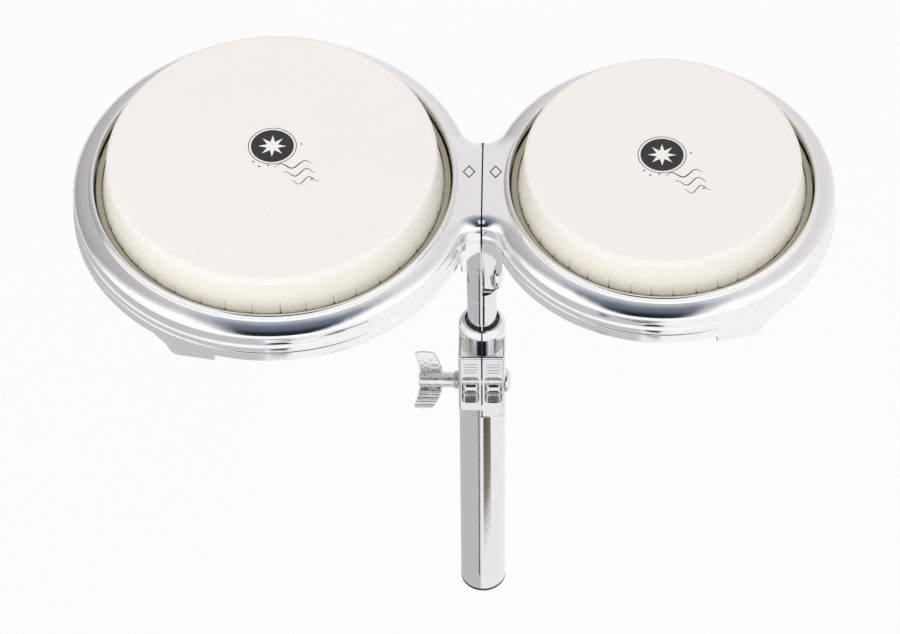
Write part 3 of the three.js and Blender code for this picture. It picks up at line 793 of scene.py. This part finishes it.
def make_tuning_screw(drum, i):
    """Square key head below its flange, threaded up into the ring."""
    flange = LEDGE_Z - 0.3
    under = flange - 1.5
    shank = [(0, -30.2), (SCREW_R - 0.6, -30.2)] + threaded(SCREW_R, -38.5, -30.9)[::-1]
    shank += [(SCREW_R, -39.0)]
    shank += rounded([(SCREW_R, flange), (4.6, flange, 0.3), (4.6, under, 0.4), (2.0, under)], closed=False)
    shank += [(0, under)]
    name = f"{drum.prefix}_tuning_screw_{i + 1}"
    screw = object_from(f"{drum.prefix}_screw_{i + 1}", lathe(shank, 32))
    key = object_from("key", block(-2.8, 2.8, -2.8, 2.8, HEM_Z + 0.2, flange - 1.2))
    soften(key, 0.45, 3)
    add(screw, taken(key))
    place = drum.at(drum.radius + SCREW_AT, screw_angle(drum, i))
    screw.data.transform(Matrix.Translation(place))
    return piece(screw, STEEL, name, [name])


def make_rest_pads(drum):
    for i, sign in enumerate((1, -1)):
        place = drum.at(drum.radius + HEM_R - PAD_INSET, sign * (90 + drum.lug_angle))
        foot = LUG_Z - 1
        pad = rounded([(0, foot), (4.6, foot, 0.6), (4.6, LUG_Z + 1.7), (0, LUG_Z + 1.7)], closed=False)
        node = f"{drum.prefix}_rest_pad_{i + 1}"
        turned(f"{drum.prefix}_pad_{i + 1}", pad, RUBBER, "drums", [node], 40, place)


# ---- Bridge and bracket -------------------------------------------------------------------------
def bracket_apron():
    """A horseshoe below the bridge. Its front carries on the hollow curve of the hem at the waist."""
    upright = Matrix.Rotation(math.pi / 2, 4, "X")
    outline = [(APRON_X, APRON_TOP), (-APRON_X, APRON_TOP)] + arc(0, APRON_Z, APRON_X, 180, 360, 40)
    slab = moved(prism(outline, 0, FILLET_Y + APRON_BACK), upright)
    apron = object_from("apron", shifted(slab, 0, APRON_BACK))
    waist_r = FILLET_R + RIM_R - HEM_R
    flare_r = waist_r + 0.35
    waist = [(0, -80), (waist_r, -80), (waist_r, -43.3), (flare_r, -42.2), (flare_r, -30), (0, -30)]
    cut(apron, shifted(lathe(waist, 160), 0, -FILLET_Y))
    opening = object_from("opening", moved(rod(ARCH_R, 20, 60, 128), upright))
    opening.data.transform(Matrix.Translation((0, 0, ARCH_TOP - ARCH_R)))
    combine(opening, block(-ARCH_X, ARCH_X, -60, -20, -90, -40), "INTERSECT")
    cut(apron, taken(opening))
    soften(apron, 0.3, 3, 60)
    return shifted(taken(apron), 0, DRUM_Y, CROWN_Z)


def make_bracket():
    """The plate under both castings, with an arched apron in front."""
    low, high = box_mm("mount_bracket")
    plate_top = CROWN_Z + LEDGE_Z - 0.3
    plate_low = CROWN_Z + HEM_Z + 1
    front = DRUM_Y + BRACKET_FRONT + 0.3
    bracket = object_from("bracket", block(low.x, high.x, front, high.y, plate_low, plate_top))
    soften(bracket, 0.7, 3, 30)
    add(bracket, bracket_apron())
    for i in range(4):
        a, b = box_mm(f"bracket_screw_{i + 1}")
        x, y, _ = (a + b) / 2
        cut(bracket, shifted(rod(2.3, plate_low - 2, plate_top + 2, 32), x, y))
        seat = plate_low - 0.3
        screw = [(0, b.z), (1.3, b.z), (1.6, b.z - 0.4)]
        screw += rounded([(1.6, seat), (4, seat, 0.2), (4, a.z + 0.9, 0.8), (2.4, a.z)], closed=False)
        screw += [(1.9, a.z), (1.6, a.z + 1.3), (0, a.z + 1.3)]
        nodes = [f"bracket_screw_{i + 1}"]
        turned(f"bracket_bolt_{i + 1}", screw, STEEL, "drums", nodes, 32, (x, y))
    return piece(bracket, ALLOY, "drums", ["mount_bracket"])


# ---- Tilter and post ----------------------------------------------------------------------------
def make_tilter_lower():
    """The post's half: a round column, flat where it meets the other half and rounded off above."""
    half = object_from("tilter_lower_body", column(PIVOT_Z - 15, PIVOT_Z + 20))
    combine(half, swing_room(HALF_REACH, PIVOT_Z - 20, PIVOT_Z), "INTERSECT")
    cut(half, block(0.35, 14, -14, 14, PIVOT_Z - NECK_R - 0.8, PIVOT_Z + 24))
    soften(half, 0.6, 4, 50)
    add(half, column(NECK_Z, PIVOT_Z - 13))
    add(half, rod(7.7, NECK_Z - 13, NECK_Z + 1, 64))
    cut(half, on_pivot(lathe([(0, -12), (5.9, -12), (5.9, -6.8), (3.3, -6.8), (3.3, 2), (0, 2)], 48)))
    piece(half, CHROME, "post", ["tilter_lower"])


def column(z0, z1):
    return rod(NECK_R, z0, z1, 128)


def on_pivot(bm):
    """Turns a solid of revolution from the Z axis to the tilter's axis."""
    return along_x(bm, 0, PIVOT_Z)


def swing_room(radius, z0, z1):
    """A round about the tilter's axis, with a block from z0 to z1, both wider than the column."""
    room = object_from("room", on_pivot(rod(radius, -12, 12, 192)))
    add(room, block(-12, 12, -14, 14, z0, z1))
    return taken(room)


def make_tilter_upper():
    """The drums' half: the column from the bracket down, cut away for the post's half and the knob."""
    top = box_mm("tilter_upper")[1].z
    upper = object_from("tilter_upper_body", column(PIVOT_Z - 12, top))
    combine(upper, swing_room(NECK_R, PIVOT_Z, top + 1), "INTERSECT")
    cut(upper, on_pivot(rod(HALF_REACH + 0.3, -12, 0.65, 192)))
    cut(upper, on_pivot(rod(11, 8, 16, 96)))
    soften(upper, 0.6, 4, 50)
    cut(upper, on_pivot(rod(3.4, 0, 9, 48)))
    piece(upper, CHROME, "drums", ["tilter_upper"])


def make_tilter():
    make_tilter_lower()
    make_tilter_upper()
    hexagon = [(0, -10), (4.7, -10), (5.5, -9.4), (5.5, -7.1), (3, -7.1), (3, 11.4), (2.4, 12), (0, 12)]
    bolt = object_from("tilter_bolt_body", on_pivot(lathe(hexagon, 6)))
    piece(bolt, STEEL, "post", ["tilter_bolt"])
    dome = [(0, 12.6), (3.3, 12.6), (3.3, 8.3), (9.2, 8.3, 0.4)]
    dome += [(10.4, 9.4, 0.8), (10.4, 12.6, 2.4), (0, 14.6)]
    knob = object_from("tilter_knob_body", on_pivot(lathe(rounded(dome, 6, False), 96)))
    piece(knob, CHROME, "tilter_knob", ["tilter_knob"])


def make_post():
    low, high = box_mm("post_tube")
    tube = rounded([(8, low.z), (POST_R, low.z, 0.4), (POST_R, high.z, 0.3), (8, high.z)])
    turned("post", tube, CHROME, "post", ["post_tube"], 128)
    low, high = box_mm("post_end_cap")
    neck = high.z - 9.3
    cap = [(0, low.z), (13.9, low.z, 1.5), (13.9, neck, 0.5), (7.7, neck), (7.7, high.z, 0.8), (0, high.z)]
    turned("post_cap", rounded(cap, 4, False), NYLON, "post", ["post_end_cap"], 96)
    low, high = box_mm("post_bushing")
    sleeve = rounded([(10.3, low.z), (11.7, low.z, 0.4), (11.7, high.z, 0.4), (10.3, high.z, 0.4)])
    turned("bushing", sleeve, SLEEVE, "bushing", ["post_bushing"], 96)


# ---- Clamp and stand tube -----------------------------------------------------------------------
def clamp_blank(name, z0, ear_z, top):
    """The clamp's outside before it is parted: a barrel from z0 up, with ears in front from ear_z up."""
    barrel = [(0, z0), (CLAMP_R, z0, 1.0), (CLAMP_R, top - 5, 3.0), (13.2, top, 1.2), (0, top)]
    blank = object_from(name, lathe(rounded(barrel, 5, False), 128))
    ears = object_from("ears", block(-CLAMP_R, CLAMP_R, EAR_Y, 0, ear_z, EAR_TOP))
    soften(ears, 1.6, 4)
    add(blank, taken(ears))
    return blank


def clamp_details(half, side, z0, top):
    """The cored pocket, the grooves above it, the bolt hole, the bore and the pin hole."""
    inner, outer = sorted((side * 1.9, side * 13.7))
    pocket = object_from("pocket", block(inner, outer, EAR_Y - 3, -12.9, 227, 255))
    soften(pocket, 3.2, 5)
    cut(half, taken(pocket))
    for k in range(4):
        z = 259 + 2.9 * k
        bar = block(inner + 1.2, outer - 1.2, EAR_Y - 0.5, EAR_Y + 0.35, z, z + 1.6)
        groove = object_from("groove", bar)
        soften(groove, 0.3, 3)
        cut(half, taken(groove))
    cut(half, along_x(rod(4.7, -20, 20, 48), BOLT_Y, BOLT_Z))
    cut(half, rod(BORE_R, 170, top + 2, 128))
    cut(half, shifted(rod(2, z0 - 4, top + 1, 32), 0, PIN_Y))


def knuckles(half, runs, radius):
    """Hinge knuckles round the pin."""
    for z0, z1 in runs:
        barrel = rounded([(0, z0), (radius, z0, 0.5), (radius, z1, 0.5), (0, z1)], 3, False)
        add(half, shifted(lathe(barrel, 48), 0, PIN_Y))


def hollow_out(half, runs, radius):
    """Room for the other half's knuckles."""
    for z0, z1 in runs:
        cut(half, shifted(rod(radius, z0, z1, 48), 0, PIN_Y))


def make_clamp():
    """The clamp's halves, hinge pin and nut, and the stand tube with its plug."""
    top = box_mm("clamp_body")[1].z
    tube_top = box_mm("stand_tube")[1].z
    jaw_low = box_mm("clamp_jaw")[0].z
    body = clamp_blank("clamp_left", tube_top + 0.25, EAR_Z, top)
    cut(body, block(-0.5, 20, -30, 30, tube_top, top + 1))
    hollow_out(body, [(238, 262)], 5)
    knuckles(body, [(216, 238), (262, 284)], 4.6)
    spigot = [(0, tube_top - 25), (14.1, tube_top - 25), (14.1, tube_top + 1), (13, tube_top + 1)]
    spigot += [(13, jaw_low - 0.3), (0, jaw_low - 0.3)]
    add(body, lathe(spigot, 128))
    clamp_details(body, -1, tube_top, top)
    piece(body, CHROME, "stand", ["clamp_body"])

    jaw = clamp_blank("clamp_right", jaw_low, jaw_low, top)
    cut(jaw, block(-20, 0.5, -30, 30, jaw_low - 1, top + 1))
    hollow_out(jaw, [(215.6, 238.4), (261.6, 284.4)], 5)
    knuckles(jaw, [(238.4, 261.6)], 4.6)
    clamp_details(jaw, 1, jaw_low, top)
    piece(jaw, CHROME, "jaw", ["clamp_jaw"])

    low, high = box_mm("clamp_hinge_pin")
    pin = rounded([(0, low.z), (1.6, low.z, 0.3), (1.6, high.z, 0.3), (0, high.z)], 3, False)
    turned("hinge_pin", pin, STEEL, "stand", ["clamp_hinge_pin"], 32, (0, PIN_Y))
    dome = [(0, 18), (4.4, 18), (4.4, 16.2), (8.4, 16.2), (8.4, 17.4, 1.0), (5.5, 19.4, 2.0), (0, 19.6)]
    nut = object_from("jaw_nut", along_x(lathe(rounded(dome, 5, False), 64), BOLT_Y, BOLT_Z))
    piece(nut, CHROME, "jaw", ["clamp_nut"])
    low, high = box_mm("stand_tube")
    tube = rounded([(14.4, low.z), (TUBE_R, low.z, 0.4), (TUBE_R, high.z, 0.3), (14.4, high.z)])
    turned("main_tube", tube, CHROME, "stand", ["stand_tube"], 128)
    plug = [(0, 0), (TUBE_R, 0, 1.0), (TUBE_R, 2.5, 0.4), (14.1, 2.5), (13, 18, 1.0), (0, 18)]
    turned("end_plug", rounded(plug, 4, False), NYLON, "stand", ["tube_plug"], 96)


def dish_and_rib(wings):
    """Curls both lobes up towards their tips, and ribs the upper face of the lobe at -Y."""
    bm = bmesh.new()
    bm.from_mesh(wings.data)
    slices = 76
    for i in range(1, slices):
        r = -19.5 + 39 * i / slices
        geometry = bm.verts[:] + bm.edges[:] + bm.faces[:]
        bmesh.ops.bisect_plane(bm, geom=geometry, plane_co=(0, r, 0), plane_no=(0, 1, 0))
    for v in bm.verts:
        r = v.co.y
        curl = 0.011 * max(0.0, abs(r) - 5) ** 2
        rib = 0.42 * math.sin(2 * math.pi * (-r - 8) / 2.3) if r < -8 and v.co.z > 1 else 0.0
        v.co.z += curl + rib
    bm.to_mesh(wings.data)
    bm.free()


def make_wing_bolt():
    """A hub with two lobes that flare outward, ribbed on the lower lobe."""
    lobe = [
        (-27, 4), (-27.4, 8.5, 2), (-30.2, 14.5, 6), (-33, 19, 2.2),
        (-40, 19.6, 2.0), (-46.4, 18.9, 1.4), (-43.6, 11, 6), (-42.4, 4),
    ]
    outline = rounded(lobe, 6, False)
    outline += [(x, -r) for x, r in reversed(outline)]
    wings = object_from("wing", prism(outline, -2.2, 2.2))
    soften(wings, 0.9, 4, 40)
    dish_and_rib(wings)
    wings.data.transform(Matrix.Rotation(math.radians(WING_TILT), 4, "X"))
    hub = [(0, -43), (5.0, -43, 1.2), (5.4, -30), (5.4, -18.9, 0.6), (SHANK_R, -18.9)]
    hub += [(SHANK_R, 16.9, 0.5), (0, 16.9)]
    add(wings, along_x(lathe(rounded(hub, 4, False), 64)))
    wings.data.transform(Matrix.Translation((0, BOLT_Y, BOLT_Z)))
    piece(wings, CAST_CHROME, "wing_bolt", ["wing_bolt"])
    ring = rounded([(3.8, -18.6), (6.2, -18.6, 0.4), (6.2, -16.2, 0.4), (3.8, -16.2)])
    washer = object_from("bolt_washer", along_x(lathe(ring, 64), BOLT_Y, BOLT_Z))
    piece(washer, STEEL, "wing_bolt", ["wing_washer"])


# ---- Printed marks ------------------------------------------------------------------------------
def brush_stroke(points, width, z0, z1):
    """A tapering inked line through points."""
    left, right = [], []
    last = len(points) - 1
    for i, (x, y) in enumerate(points):
        before = Vector(points[max(i - 1, 0)])
        after = Vector(points[min(i + 1, last)])
        along = (after - before).normalized()
        half = width * (0.25 + 0.75 * math.sin(math.pi * (i + 0.5) / (last + 1))) / 2
        left.append((x - along.y * half, y + along.x * half))
        right.append((x + along.y * half, y - along.x * half))
    return prism(left + right[::-1], z0, z1)


def make_print(drum, x, y):
    """A plain printed badge: a ringed disc with a pierced star, a few dots and wavy lines."""
    z0, z1 = -0.02, 0.05
    badge = object_from(drum.prefix + "_badge", prism(circle(x, y, 14.2, 72), z0, z1))
    star = []
    for i in range(16):
        r = 9.5 if i % 2 == 0 else 3.9
        a = math.pi * i / 8
        star.append((x + r * math.cos(a), y + r * math.sin(a)))
    cut(badge, prism(star, z0 - 1, z1 + 1))
    parts = [band(circle(x, y, 16.1, 64), circle(x, y, 15.6, 64), z0, z1)]
    for u, v in ((19, 2), (-12, -14), (-8, -18), (-2, -17), (27, -29)):
        parts.append(prism(circle(x + u, y + v, 0.65, 16), z0, z1))
    for k in range(3):
        wave = []
        for i in range(25):
            t = i / 24
            u = 2 + 6 * k + 24 * t - 3 * k * t
            v = -19 - 6.5 * k + 4.5 * t + 2.6 * math.sin(9.5 * t + k)
            wave.append((x + u, y + v))
        parts.append(brush_stroke(wave, 0.9 - 0.15 * k, z0, z1))
    bm = bmesh.new()
    bm.from_mesh(badge.data)
    for part in parts:
        mesh = bpy.data.meshes.new("part")
        bmesh.ops.recalc_face_normals(part, faces=part.faces)
        part.to_mesh(mesh)
        part.free()
        bm.from_mesh(mesh)
        bpy.data.meshes.remove(mesh)
    bm.to_mesh(badge.data)
    bm.free()
    badge.data.transform(Matrix.Translation(drum.centre))
    piece(badge, INK, "drums")


for drum in DRUMS:
    make_casting(drum)
    make_head(drum, 7 if drum is LARGE else 11)
    make_drum_inside(drum)
    make_rest_pads(drum)
make_print(LARGE, 0.0, 8.0)
make_print(SMALL, -0.5, 3.0)
make_bracket()
make_tilter()
make_post()
make_clamp()
make_wing_bolt()
for node in ("bridge_bolt_1", "bridge_bolt_2", "bridge_nut_1", "bridge_nut_2"):
    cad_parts[node].data.materials.clear()
    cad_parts[node].data.materials.append(STEEL)


# ---- Studio -------------------------------------------------------------------------------------
FLOOR_Z = -1.9
CARD_Z = -0.04


def level(x0, x1, y0, y1, z):
    """The corners of a level rectangle."""
    return (x0, y0, z), (x1, y0, z), (x1, y1, z), (x0, y1, z)


def make_floor():
    """A wide pale floor that is clear from below."""
    bm = bmesh.new()
    bm.faces.new([bm.verts.new(point) for point in level(-30, 30, -30, 30, FLOOR_Z)])
    floor = object_from("floor", bm)
    s = Shader("pale_floor", (0.93, 0.93, 0.93), 0.8, 0.0)
    s.set("Base Color", s.mix(s.noise(0.7, 2), (0.925, 0.925, 0.925), (0.94, 0.94, 0.94)))
    s.set("Emission Color", (1, 1, 1, 1))
    s.set("Emission Strength", 0.1)
    through = s.node("ShaderNodeBsdfTransparent")
    under = s.node("ShaderNodeNewGeometry").outputs["Backfacing"]
    switch = s.node("ShaderNodeMixShader")
    s.tree.links.new(under, switch.inputs[0])
    s.tree.links.new(s.shader.outputs[0], switch.inputs[1])
    s.tree.links.new(through.outputs[0], switch.inputs[2])
    s.tree.links.new(switch.outputs[0], s.tree.nodes["Material Output"].inputs[0])
    floor.data.materials.append(s.material)


def make_card(name, points, dark, light, fade_x, fade_y):
    """A card that only reflections see. It pales from dark to light and thins out over each fade range."""
    bm = bmesh.new()
    bm.faces.new([bm.verts.new(point) for point in points])
    card = object_from(name, bm)
    s = Shader(name + "_cloth", dark, 1.0, 0.0)
    split = s.node("ShaderNodeSeparateXYZ", Vector=s.place).outputs
    across = s.ramp(s.maths("ABSOLUTE", split["X"]), 1.0, 0.0, *fade_x)
    along = s.ramp(split["Y"], 1.0, 0.0, *fade_y)
    s.set("Base Color", s.mix(along, light, dark))
    s.set("Alpha", s.maths("MULTIPLY", across, s.ramp(along, 0.0, 1.0, 0.0, 0.4)))
    s.set("Specular IOR Level", 0.0)
    card.data.materials.append(s.material)
    card.visible_camera = False
    card.visible_diffuse = False
    card.visible_shadow = False
    return card


def make_front_flag():
    """The dark gap between two bright banks of light, high in front, where a camera would stand."""
    corners = level(-0.95, 0.95, -1.25, 2.1, 0)
    card = make_card("front_flag", corners, (0.004, 0.01, 0.018), (0.3, 0.35, 0.46), (0.5, 0.92), (0.0, 2.0))
    elevation = math.radians(66)
    centre = Vector((-0.05, -2 * math.cos(elevation), 0.4 + 2 * math.sin(elevation)))
    towards = (Vector((-0.05, 0, 0.4)) - centre).to_track_quat("Z", "Y")
    card.matrix_world = Matrix.Translation(centre) @ towards.to_matrix().to_4x4()


def make_low_cards():
    """Cards under the drums: black ones far in front, a grey one on the left and stripes for the tubes."""
    standing = (-0.185, -1.98, FLOOR_Z), (0.135, -1.98, FLOOR_Z), (0.2, -1.98, -0.5), (-0.25, -1.98, -0.5)
    lying = level(-0.16, 0.11, -2.3, -1.96, FLOOR_Z + 0.01)
    for name, points in (("far_stripe", standing), ("under_stripe", lying)):
        make_card(name, points, (0.008, 0.008, 0.01), (0.01, 0.01, 0.012), (0.3, 0.31), (-1.9, -1.0))
    left = level(-6, -0.3, -6, 6, FLOOR_Z + 0.02)
    make_card("left_grey", left, (0.62, 0.61, 0.63), (0.62, 0.61, 0.63), (7, 8), (7, 8))
    brown = sector(0.07, 0.22, 4, 40)
    make_card("brown_stripe", brown, (0.13, 0.1, 0.075), (0.45, 0.38, 0.32), (1, 2), (-0.2, -0.08))
    dark_stripes = (
        ("line_stripe", 0.06, 0.23, -19, -15),
        ("post_stripe_1", 0.24, 0.34, -24, -15),
        ("post_stripe_2", 0.24, 0.34, 5, 20),
    )
    for name, inner, outer, start, end in dark_stripes:
        points = sector(inner, outer, start, end)
        make_card(name, points, (0.02, 0.022, 0.03), (0.1, 0.1, 0.12), (1, 2), (1, 2))


def sector(inner, outer, start, end, steps=6):
    """Points of a ring's sector round the tube, its angles counted from the front towards +X."""
    loop = []
    for radius, first, last in ((inner, start, end), (outer, end, start)):
        for i in range(steps + 1):
            a = math.radians(first + (last - first) * i / steps)
            loop.append((radius * math.sin(a), -radius * math.cos(a), CARD_Z))
    return loop


def make_light(name, centre, side, power):
    """A soft square lamp, turned towards the drums, that reflections don't see."""
    data = bpy.data.lights.new(name, "AREA")
    data.size = side
    data.energy = power
    light = bpy.data.objects.new(name, data)
    bpy.context.scene.collection.objects.link(light)
    light.visible_glossy = False
    towards = (Vector(centre) - Vector((0, 0, 0.4))).to_track_quat("Z", "Y")
    light.matrix_world = Matrix.Translation(centre) @ towards.to_matrix().to_4x4()


def make_world():
    """A bright room: white in front, paler behind, and grey towards the left."""
    world = bpy.data.worlds.new("studio")
    bpy.context.scene.world = world
    world.use_nodes = True
    tree = world.node_tree
    place = tree.nodes.new("ShaderNodeTexCoord").outputs["Generated"]
    split = tree.nodes.new("ShaderNodeSeparateXYZ")
    tree.links.new(place, split.inputs[0])
    side = tree.nodes.new("ShaderNodeMapRange")
    side.inputs["From Min"].default_value = -1
    side.inputs["From Max"].default_value = 1
    tree.links.new(split.outputs["X"], side.inputs["Value"])
    ramp = tree.nodes.new("ShaderNodeValToRGB")
    tree.links.new(side.outputs[0], ramp.inputs[0])
    stops = ramp.color_ramp.elements
    for x, value in ((-0.8, 0.44), (-0.38, 0.56), (-0.12, 0.86), (0.1, 0.96), (0.4, 0.82), (1.0, 0.7)):
        stop = stops.new((x + 1) / 2)
        stop.color = (value, value * 0.985, value, 1)
    stops.remove(stops[-1])
    stops.remove(stops[0])
    front = tree.nodes.new("ShaderNodeMapRange")
    front.inputs["From Min"].default_value = 0.24
    front.inputs["From Max"].default_value = -0.04
    tree.links.new(split.outputs["Y"], front.inputs["Value"])
    blend = tree.nodes.new("ShaderNodeMix")
    blend.data_type = "RGBA"
    tree.links.new(front.outputs[0], blend.inputs[0])
    tree.links.new(ramp.outputs[0], blend.inputs[6])
    blend.inputs[7].default_value = (1.2, 1.2, 1.2, 1)
    background = tree.nodes["Background"]
    tree.links.new(blend.outputs[2], background.inputs["Color"])
    background.inputs["Strength"].default_value = 0.92


make_world()
make_floor()
make_light("overhead", (-0.6, -0.4, 2.2), 1.6, 2)
make_light("left_front", (-1.6, -1.2, 1.4), 0.9, 4)
make_front_flag()
make_low_cards()
bpy.context.scene.view_settings.view_transform = "Standard"
